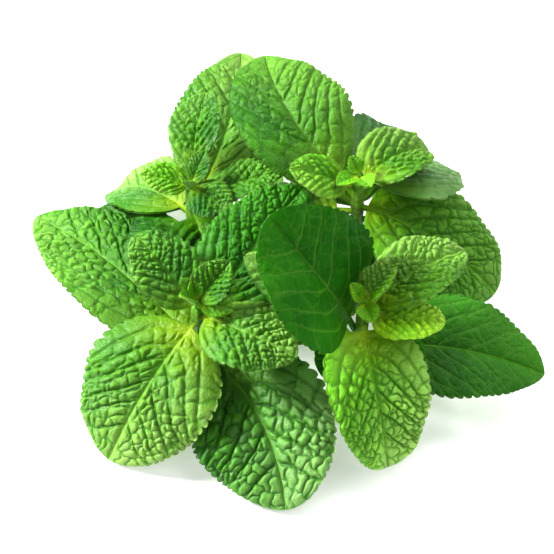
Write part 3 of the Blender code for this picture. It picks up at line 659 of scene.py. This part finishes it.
def make_stem(finishes):
    """The main stem and its four side shoots in one piece, with hairs except close to the ground.

    At a distance d from a leaf's node a shoot is swollen by exp(-(d / reach)^4) and tinted by
    exp(-(d / tint)^2).
    """
    shell = Shell()
    length = np.linspace(CUT_END_Y, FRONT_END_Y, MAIN_ROWS)
    lying = np.stack([0 * length, length, 0 * length + MAIN_HALF], -1)
    rings = [square_stem(shell, lying, np.full(MAIN_ROWS, MAIN_HALF), (1, 0, 0), cut=True)]
    for shoot in SHOOTS.values():
        path = shoot_path(shoot)
        climb = np.clip(path[:, 2] / shoot["top"], 0.0, 1.0)
        halves = SHOOT_HALF_LOW + (SHOOT_HALF_TOP - SHOOT_HALF_LOW) * climb
        nodes = np.array([leaf["node"] for _, own, leaf in each_leaf() if own is shoot])
        near = np.abs(path[:, 2:] - nodes[None, :]).min(1)
        halves = halves * (1 + (NODE_SWELLING - 1) * np.exp(-((near / NODE_REACH) ** 4)))
        rings.append(square_stem(shell, path, halves, (0, 0, 1), tint=np.exp(-((near / NODE_TINT) ** 2))))
    for number, ring in enumerate(rings):
        rng = np.random.default_rng(70 + number)
        hairs = MAIN_HAIR_COUNT if number == 0 else SHOOT_HAIR_COUNT
        row, column = rng.integers(2, ring.shape[0] - 2, hairs), rng.integers(0, ring.shape[1], hairs)
        places = ring[row, column]
        normals = places - ring.mean(1)[row]
        normals /= np.linalg.norm(normals, axis=1)[:, None]
        above = places[:, 2] > LOWEST_HAIR
        add_hairs(shell, places[above], normals[above], seed=80 + number, **STEM_HAIRS)
    return shell.build("stem_and_shoots", [finishes["stem"], finishes["stem"], finishes["hair"]])


# Finishes


def feed(socket, value):
    """Gives an input a link from another socket, a colour, a vector or a number."""
    if isinstance(value, bpy.types.NodeSocket):
        socket.id_data.links.new(value, socket)
    else:
        socket.default_value = (*value, 1.0) if socket.type == "RGBA" else value


def add_node(tree, kind, inputs=(), **settings):
    """A new node with its settings and its inputs by label or number, laid out in rows of eight."""
    row, column = divmod(len(tree.nodes), 8)
    item = tree.nodes.new(kind)
    item.location = (240 * column - 2100, 300 - 280 * row)
    for key, value in settings.items():
        setattr(item, key, value)
    for label, value in dict(inputs).items():
        feed(item.inputs[label], value)
    return item


def mix_colours(tree, first, second, factor):
    """A mix of two colours. Each input is a socket or a plain value."""
    inputs = {6: first, 7: second, 0: factor}
    return add_node(tree, "ShaderNodeMix", inputs, data_type="RGBA").outputs[2]


def number_node(tree, operation, *numbers, clamp=False):
    """A calculation on two or three numbers or sockets."""
    inputs = dict(enumerate(numbers))
    return add_node(tree, "ShaderNodeMath", inputs, operation=operation, use_clamp=clamp).outputs[0]


def noise(tree, where, scale, detail=3.0, rough=0.6):
    """Soft noise from 0 to 1. Where is a place in metres, and scale is the number of waves to the metre."""
    inputs = {"Vector": where, "Scale": scale, "Detail": detail, "Roughness": rough}
    return add_node(tree, "ShaderNodeTexNoise", inputs).outputs["Fac"]


def read_mark(tree, name):
    """The outputs for one of the values that lie on a surface's points."""
    return add_node(tree, "ShaderNodeAttribute", attribute_name=name).outputs


def read_marks(tree):
    """The four values of the marks on a surface's points."""
    marks = read_mark(tree, "marks")
    parts = add_node(tree, "ShaderNodeSeparateColor", {0: marks["Color"]}).outputs
    return parts[0], parts[1], parts[2], marks["Alpha"]


def group_tree(name, inputs, outputs):
    """An empty shader node group from the kind of each labelled socket, with its given and result sockets."""
    tree = bpy.data.node_groups.new(name, "ShaderNodeTree")
    for direction, sockets in (("INPUT", inputs), ("OUTPUT", outputs)):
        for label, kind in sockets.items():
            tree.interface.new_socket(label, in_out=direction, socket_type=kind)
    return tree, add_node(tree, "NodeGroupInput").outputs, add_node(tree, "NodeGroupOutput").inputs


def leaf_pattern():
    """The pattern of a living leaf: patchy green, painted sheen on the blisters, painted shade in the
    hollows, pale veins, a yellow base and tinted teeth.

    The share of light green is the tone, which is partly painted light and shade, plus the patches, the cell,
    the painted light towards the tip and on one half, and the flecks, each counted from its middle. The top
    colour is a painted sheen on the blisters where that painted light is, and the groove colour is painted
    shade in the hollows of the upper side and paler raised veins on the under side.
    Height is the fine grain of the skin: a net of the smallest veins and a soft grain between them.
    """
    colour, value = "NodeSocketColor", "NodeSocketFloat"
    colours = ("Light Green", "Deep Green", "Groove Colour And Shade", "Vein Colour", "Base Colour", "Tooth Colour",
               "Painted Sheen Colour")
    numbers = ("Painted Sheen", "Tone", "Vein Strength", "Base Strength", "Tooth Strength")
    inputs = dict.fromkeys(colours, colour) | dict.fromkeys(numbers, value)
    outputs = {"Colour": colour, "Roughness": value, "Height": value}
    tree, given, result = group_tree("leaf_pattern", inputs, outputs)
    where = add_node(tree, "ShaderNodeTexCoord").outputs["Object"]
    vein, base, cell, rim = read_marks(tree)
    hollow_shade, painted_light = read_mark(tree, "hollow_shade")["Fac"], read_mark(tree, "painted_light")["Fac"]
    patches = noise(tree, where, 95.0, detail=4.0)
    speckle = noise(tree, where, 900.0)
    grain = noise(tree, where, 3200.0, detail=2.0)

    amount = number_node(tree, "MULTIPLY_ADD", patches, 1.1, -0.55)
    amount = number_node(tree, "ADD", amount, given["Tone"])
    # The cell's own random tone, and painted light towards the tip and on one half
    for part, weight in ((cell, 0.5), (painted_light, 0.46)):
        lift = number_node(tree, "MULTIPLY_ADD", part, weight, -weight / 2)
        amount = number_node(tree, "ADD", amount, lift)
    fleck = number_node(tree, "MULTIPLY_ADD", speckle, 0.5, -0.25)
    amount = number_node(tree, "ADD", amount, fleck, clamp=True)
    green = mix_colours(tree, given["Deep Green"], given["Light Green"], amount)
    # Painted sheen on the blisters, away from the hollows and where the painted light is
    top = number_node(tree, "SUBTRACT", 0.75, hollow_shade, clamp=True)
    top = number_node(tree, "MULTIPLY", top, given["Painted Sheen"], clamp=True)
    top = number_node(tree, "MULTIPLY", top, painted_light, clamp=True)
    green = mix_colours(tree, green, given["Painted Sheen Colour"], top)
    # Painted shade in the hollows of the upper sides; on the under side the same mix makes the raised veins
    # paler
    hollow_shade_share = number_node(tree, "MULTIPLY", hollow_shade, 0.8, clamp=True)
    green = mix_colours(tree, green, given["Groove Colour And Shade"], hollow_shade_share)
    shown = number_node(tree, "MULTIPLY", vein, given["Vein Strength"], clamp=True)
    green = mix_colours(tree, green, given["Vein Colour"], shown)
    near = number_node(tree, "MULTIPLY", base, given["Base Strength"], clamp=True)
    green = mix_colours(tree, green, given["Base Colour"], near)
    touched = number_node(tree, "MULTIPLY", rim, given["Tooth Strength"])
    touched = number_node(tree, "MULTIPLY", touched, patches, clamp=True)
    feed(result["Colour"], mix_colours(tree, green, given["Tooth Colour"], touched))

    rough = number_node(tree, "MULTIPLY_ADD", speckle, 0.30, 0.22)
    feed(result["Roughness"], number_node(tree, "MULTIPLY_ADD", vein, 0.10, rough))

    inputs = {"Vector": where, "Scale": 1150.0}
    net = add_node(tree, "ShaderNodeTexVoronoi", inputs, feature="DISTANCE_TO_EDGE").outputs
    height = number_node(tree, "MINIMUM", net["Distance"], 0.16)
    height = number_node(tree, "MULTIPLY", height, 2.2)
    height = number_node(tree, "MULTIPLY_ADD", grain, 0.35, height)
    feed(result["Height"], number_node(tree, "MULTIPLY_ADD", speckle, 1.6, height))
    return tree


def new_material(name, settings):
    """A material whose shader has the given settings, with its node tree and its shader's inputs."""
    material = bpy.data.materials.new(name)
    material.use_nodes = True
    shader = material.node_tree.nodes["Principled BSDF"].inputs
    for label, value in settings.items():
        feed(shader[label], value)
    return material, material.node_tree, shader


def raise_skin(tree, shader, height, strength, distance):
    """A fine relief of the skin on a shader, from a height that counts as far as a distance in metres."""
    inputs = {"Strength": strength, "Distance": distance, "Height": height}
    feed(shader["Normal"], add_node(tree, "ShaderNodeBump", inputs).outputs["Normal"])


def leaf_finish(name, group, values, relief, soft, gloss):
    """A leaf material: the pattern's colour, roughness and height on one shader."""
    material, tree, shader = new_material(name, {
        "Subsurface Weight": soft, "Subsurface Radius": (0.35, 1.0, 0.12), "Subsurface Scale": 0.0005,
        "Specular IOR Level": gloss})
    pattern = add_node(tree, "ShaderNodeGroup", values, node_tree=group).outputs
    feed(shader["Base Color"], pattern["Colour"])
    feed(shader["Roughness"], pattern["Roughness"])
    raise_skin(tree, shader, pattern["Height"], relief, 0.00026)
    return material


# The greens of each finish. The tone mixes light and deep, base is the colour at the leaf's foot, groove is
# painted shade in the hollows, and top is a painted sheen on the blisters, as far as bloom says. gloss is the
# shader's specular level. The finishes are partly the leaves' own greens and partly painted light and shade:
# shaded and dark are deepened with painted shade, pale and lime are lightened with painted light, and the
# finishes with a whiter top and more bloom, such as satin, glossy, fresh and pale, carry more painted sheen.
GREENS = {
    "mature": dict(light=(0.092, 0.33, 0.004), deep=(0.012, 0.118, 0.001), base=(0.27, 0.46, 0.006),
                   groove=(0.007, 0.088, 0.001), top=(0.215, 0.39, 0.070), painted_sheen=0.60, gloss=0.25),
    "dark": dict(light=(0.040, 0.26, 0.002), deep=(0.006, 0.095, 0.001), base=(0.15, 0.39, 0.004),
                 groove=(0.004, 0.070, 0.001), top=(0.11, 0.32, 0.025), painted_sheen=0.30, gloss=0.20),
    "bright": dict(light=(0.200, 0.52, 0.005), deep=(0.058, 0.285, 0.002), base=(0.48, 0.64, 0.008),
                   groove=(0.021, 0.170, 0.001), top=(0.38, 0.56, 0.13), painted_sheen=0.60, gloss=0.25),
    "fresh": dict(light=(0.130, 0.36, 0.003), deep=(0.034, 0.190, 0.001), base=(0.40, 0.54, 0.006),
                  groove=(0.020, 0.145, 0.001), top=(0.33, 0.49, 0.13), painted_sheen=0.75, gloss=0.34),
    "pale": dict(light=(0.245, 0.65, 0.016), deep=(0.115, 0.430, 0.003), base=(0.53, 0.72, 0.008),
                 groove=(0.016, 0.150, 0.001), top=(0.52, 0.74, 0.24), painted_sheen=0.75, gloss=0.40),
    "lime": dict(light=(0.420, 0.80, 0.010), deep=(0.170, 0.500, 0.003), base=(0.60, 0.72, 0.008),
                 groove=(0.050, 0.270, 0.002), top=(0.55, 0.76, 0.16), painted_sheen=0.50, gloss=0.35),
    "satin": dict(light=(0.078, 0.33, 0.005), deep=(0.008, 0.108, 0.001), base=(0.21, 0.43, 0.008),
                  groove=(0.004, 0.073, 0.001), top=(0.30, 0.49, 0.17), painted_sheen=0.75, gloss=0.42),
    "shaded": dict(light=(0.042, 0.29, 0.002), deep=(0.006, 0.110, 0.001), base=(0.06, 0.28, 0.002),
                   groove=(0.005, 0.085, 0.001), top=(0.06, 0.28, 0.004), painted_sheen=0.0, gloss=0.10),
    "glossy": dict(light=(0.080, 0.30, 0.015), deep=(0.018, 0.150, 0.004), base=(0.34, 0.56, 0.020),
                   groove=(0.015, 0.120, 0.004), top=(0.26, 0.44, 0.15), painted_sheen=0.7, gloss=0.50),
    "young": dict(light=(0.22, 0.55, 0.005), deep=(0.07, 0.31, 0.002), base=(0.52, 0.65, 0.010),
                  groove=(0.05, 0.26, 0.002), top=(0.30, 0.55, 0.045), painted_sheen=0.3, gloss=0.25),
}


def upper_finish(name, group, look):
    """The finish of one leaf's upper side, from its greens and its tone."""
    # The groove colour is painted shade in the hollows and the top colour a painted sheen on the blisters
    greens = GREENS[look["finish"]]
    return leaf_finish(f"{name}_skin", group, {
        "Light Green": greens["light"], "Deep Green": greens["deep"], "Base Colour": greens["base"],
        "Groove Colour And Shade": greens["groove"], "Vein Colour": (0.26, 0.54, 0.07),
        "Tooth Colour": (0.20, 0.13, 0.06), "Painted Sheen Colour": greens["top"], "Painted Sheen": greens["painted_sheen"],
        "Tone": look["tone"], "Vein Strength": 0.8, "Base Strength": 0.8, "Tooth Strength": 0.5},
        0.7, 0.12, greens["gloss"])


def under_finish(group):
    """The finish of every leaf's under side, which is paler and duller."""
    # On the under side the top colour is a painted sheen and the groove colour makes the raised veins paler
    return leaf_finish("leaf_underside", group, {
        "Light Green": (0.22, 0.42, 0.12), "Deep Green": (0.11, 0.28, 0.06),
        "Base Colour": (0.34, 0.46, 0.12), "Groove Colour And Shade": (0.30, 0.48, 0.16),
        "Vein Colour": (0.42, 0.56, 0.22), "Tooth Colour": (0.26, 0.22, 0.12),
        "Painted Sheen Colour": (0.24, 0.46, 0.12), "Painted Sheen": 0.4,
        "Tone": 0.5, "Vein Strength": 0.8, "Base Strength": 0.5, "Tooth Strength": 0.2},
        0.6, 0.15, 0.45)


def stem_finish():
    """The stem: green in fine patches, with paler ridges, red-brown nodes and a pale cut end."""
    material, tree, shader = new_material("stem_skin", {
        "Subsurface Weight": 0.2, "Subsurface Radius": (0.5, 1.0, 0.2), "Subsurface Scale": 0.0012})
    where = add_node(tree, "ShaderNodeTexCoord").outputs["Object"]
    ridge, node, _, pith = read_marks(tree)
    patches = noise(tree, where, 260.0, detail=5.0)
    grain = noise(tree, where, 2200.0)
    skin = mix_colours(tree, (0.05, 0.20, 0.004), (0.15, 0.38, 0.010), patches)
    skin = mix_colours(tree, skin, (0.20, 0.44, 0.02), number_node(tree, "MULTIPLY", ridge, 0.45))
    tinted = number_node(tree, "MULTIPLY", node, patches, clamp=True)
    skin = mix_colours(tree, skin, (0.07, 0.05, 0.008), tinted)
    feed(shader["Base Color"], mix_colours(tree, skin, (0.62, 0.70, 0.40), pith))
    feed(shader["Roughness"], number_node(tree, "MULTIPLY_ADD", grain, 0.25, 0.38))
    raise_skin(tree, shader, grain, 0.5, 0.0001)
    return material


def hair_finish():
    """Pale hairs, a little lighter in places."""
    material, tree, shader = new_material("fine_hair", {"Roughness": 0.5})
    where = add_node(tree, "ShaderNodeTexCoord").outputs["Object"]
    patches = noise(tree, where, 300.0, rough=0.55)
    feed(shader["Base Color"], mix_colours(tree, (0.30, 0.46, 0.16), (0.55, 0.66, 0.38), patches))
    return material


def make_finishes():
    """Every leaf's own upper finish by name, and the shared under side, bud, stem and hair finishes."""
    group = leaf_pattern()
    finishes = {}
    for name, _, leaf in each_leaf():
        finishes[name] = upper_finish(name, group, leaf)
    for shoot, forms in BUD_LEAVES.items():
        for number, form in enumerate(forms):
            name = f"{shoot}_young_{number}"
            finishes[name] = upper_finish(name, group, form)
    finishes["bud"] = upper_finish("bud", group, dict(finish="young", tone=0.5))
    finishes["under"] = under_finish(group)
    finishes["stem"] = stem_finish()
    finishes["hair"] = hair_finish()
    return finishes


# Floor, light and camera, in metres

FLOOR_REACH = 2.5
FLOOR_BELOW = 0.0002
LIGHT_TARGET = (0.0, 0.0, 0.02)
CAMERA_TARGET = (-0.00115, -0.005505, 0.018)
CAMERA_DISTANCE = 0.55
CAMERA_ELEVATION = math.radians(50)

# Each light's name, place, size and power
LIGHTS = [
    ("window_light", (-0.54, 0.12, 0.38), 0.20, 9.6),
    ("back_light", (0.20, 0.46, 0.62), 0.80, 5.0),
    ("front_light", (-0.36, -0.42, 0.50), 0.50, 1.0),
    ("side_light", (0.52, -0.06, 0.44), 0.60, 1.8),
]


def make_floor():
    """The plain white floor, just below the sprig."""
    far = FLOOR_REACH
    mesh = bpy.data.meshes.new("floor")
    mesh.from_pydata([(-far, -far, 0), (far, -far, 0), (far, far, 0), (-far, far, 0)], [], [(0, 1, 2, 3)])
    floor = place_in_scene("floor", mesh)
    floor.location = (0.0, 0.0, -FLOOR_BELOW)
    material, _, _ = new_material("white_floor", {
        "Base Color": (0.92, 0.92, 0.92), "Emission Color": (1.0, 1.0, 1.0), "Emission Strength": 0.34,
        "Roughness": 0.9, "Specular IOR Level": 0.1})
    mesh.materials.append(material)


def turn_to(item, place, target):
    """Puts a light or the camera at a place and turns it to a target."""
    item.location = place
    item.rotation_euler = (Vector(target) - Vector(place)).to_track_quat("-Z", "Y").to_euler()


def surroundings():
    """A plain white floor and surroundings, and a camera looking down at the sprig as the photograph does."""
    scene = bpy.context.scene
    make_floor()
    scene.world = bpy.data.worlds.new("white_room")
    scene.world.use_nodes = True
    backing = scene.world.node_tree.nodes["Background"]
    feed(backing.inputs["Color"], (1.0, 1.0, 1.0))
    feed(backing.inputs["Strength"], 0.12)
    for name, place, size, power in LIGHTS:
        data = bpy.data.lights.new(name, "AREA")
        data.size = size
        data.energy = power
        turn_to(place_in_scene(name, data), place, LIGHT_TARGET)
    data = bpy.data.cameras.new("photo_camera")
    data.sensor_width = 36.0
    data.lens = 137.5
    data.clip_start = 0.01
    data.clip_end = 20.0
    scene.camera = place_in_scene("photo_camera", data)
    back = Vector((0, -math.cos(CAMERA_ELEVATION), math.sin(CAMERA_ELEVATION)))
    turn_to(scene.camera, Vector(CAMERA_TARGET) + CAMERA_DISTANCE * back, CAMERA_TARGET)
    scene.view_settings.view_transform = "Standard"
    scene.view_settings.gamma = 0.88
    scene.view_settings.exposure = 0.22


# The pieces


def stand_for(piece, node):
    """Puts a piece on the one body, which all pieces ride on, and hides the node of the part that it is drawn
    for.
    """
    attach(piece, "root")
    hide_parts(node)


def make_leaf(name, shoot, leaf, seed, finishes):
    """One leaf, whose stalk starts beside its shoot at the height of its node."""
    heading = math.radians(leaf["heading"])
    root = np.array([shoot["x"], shoot["y"], leaf["node"]], float)
    root = root + ROOT_DISTANCE * np.array([math.cos(heading), math.sin(heading), 0.0])
    shell = Shell()
    add_blade(shell, leaf, root, seed)
    return shell.build(f"{name}_leaf", [finishes[name], finishes["under"], finishes["hair"]])


def make_bud(name, shoot, seed, finishes):
    """The tip of a shoot with its youngest leaves, each with a finish of its own."""
    shell = Shell()
    low = shoot["top"] + JOINT_GAP
    climb = np.linspace(0, 1, BUD_ROWS)
    path = np.stack([0 * climb + shoot["x"], 0 * climb + shoot["y"], low + BUD_HEIGHT * climb], -1)
    square_stem(shell, path, BUD_HALF * (1 - 0.6 * climb**2), (1, 0, 0), around=BUD_AROUND)
    skins = [finishes["bud"], finishes["under"], finishes["hair"]]
    for number, form in enumerate(BUD_LEAVES[name]):
        root = np.array([shoot["x"], shoot["y"], low + 1.3 + 0.2 * number])
        add_blade(shell, dict(PLAIN_BUD_LEAF, **form), root, seed + number, BUD_HAIR_COUNT,
                  FIRST_YOUNG_SLOT + number)
        skins.append(finishes[f"{name}_young_{number}"])
    return shell.build(f"{name}_young_leaves", skins)


def main():
    """Every piece with the node that it is drawn for, and then the floor, the lights and the camera."""
    finishes = make_finishes()
    stand_for(make_stem(finishes), "stem")
    for seed, (name, shoot, leaf) in enumerate(each_leaf(), 1):
        piece = make_leaf(name, shoot, leaf, seed, finishes)
        stand_for(piece, name)
    for place, (name, shoot) in enumerate(SHOOTS.items()):
        piece = make_bud(name, shoot, 200 + 10 * place, finishes)
        stand_for(piece, f"{name}_bud")
    surroundings()


main()
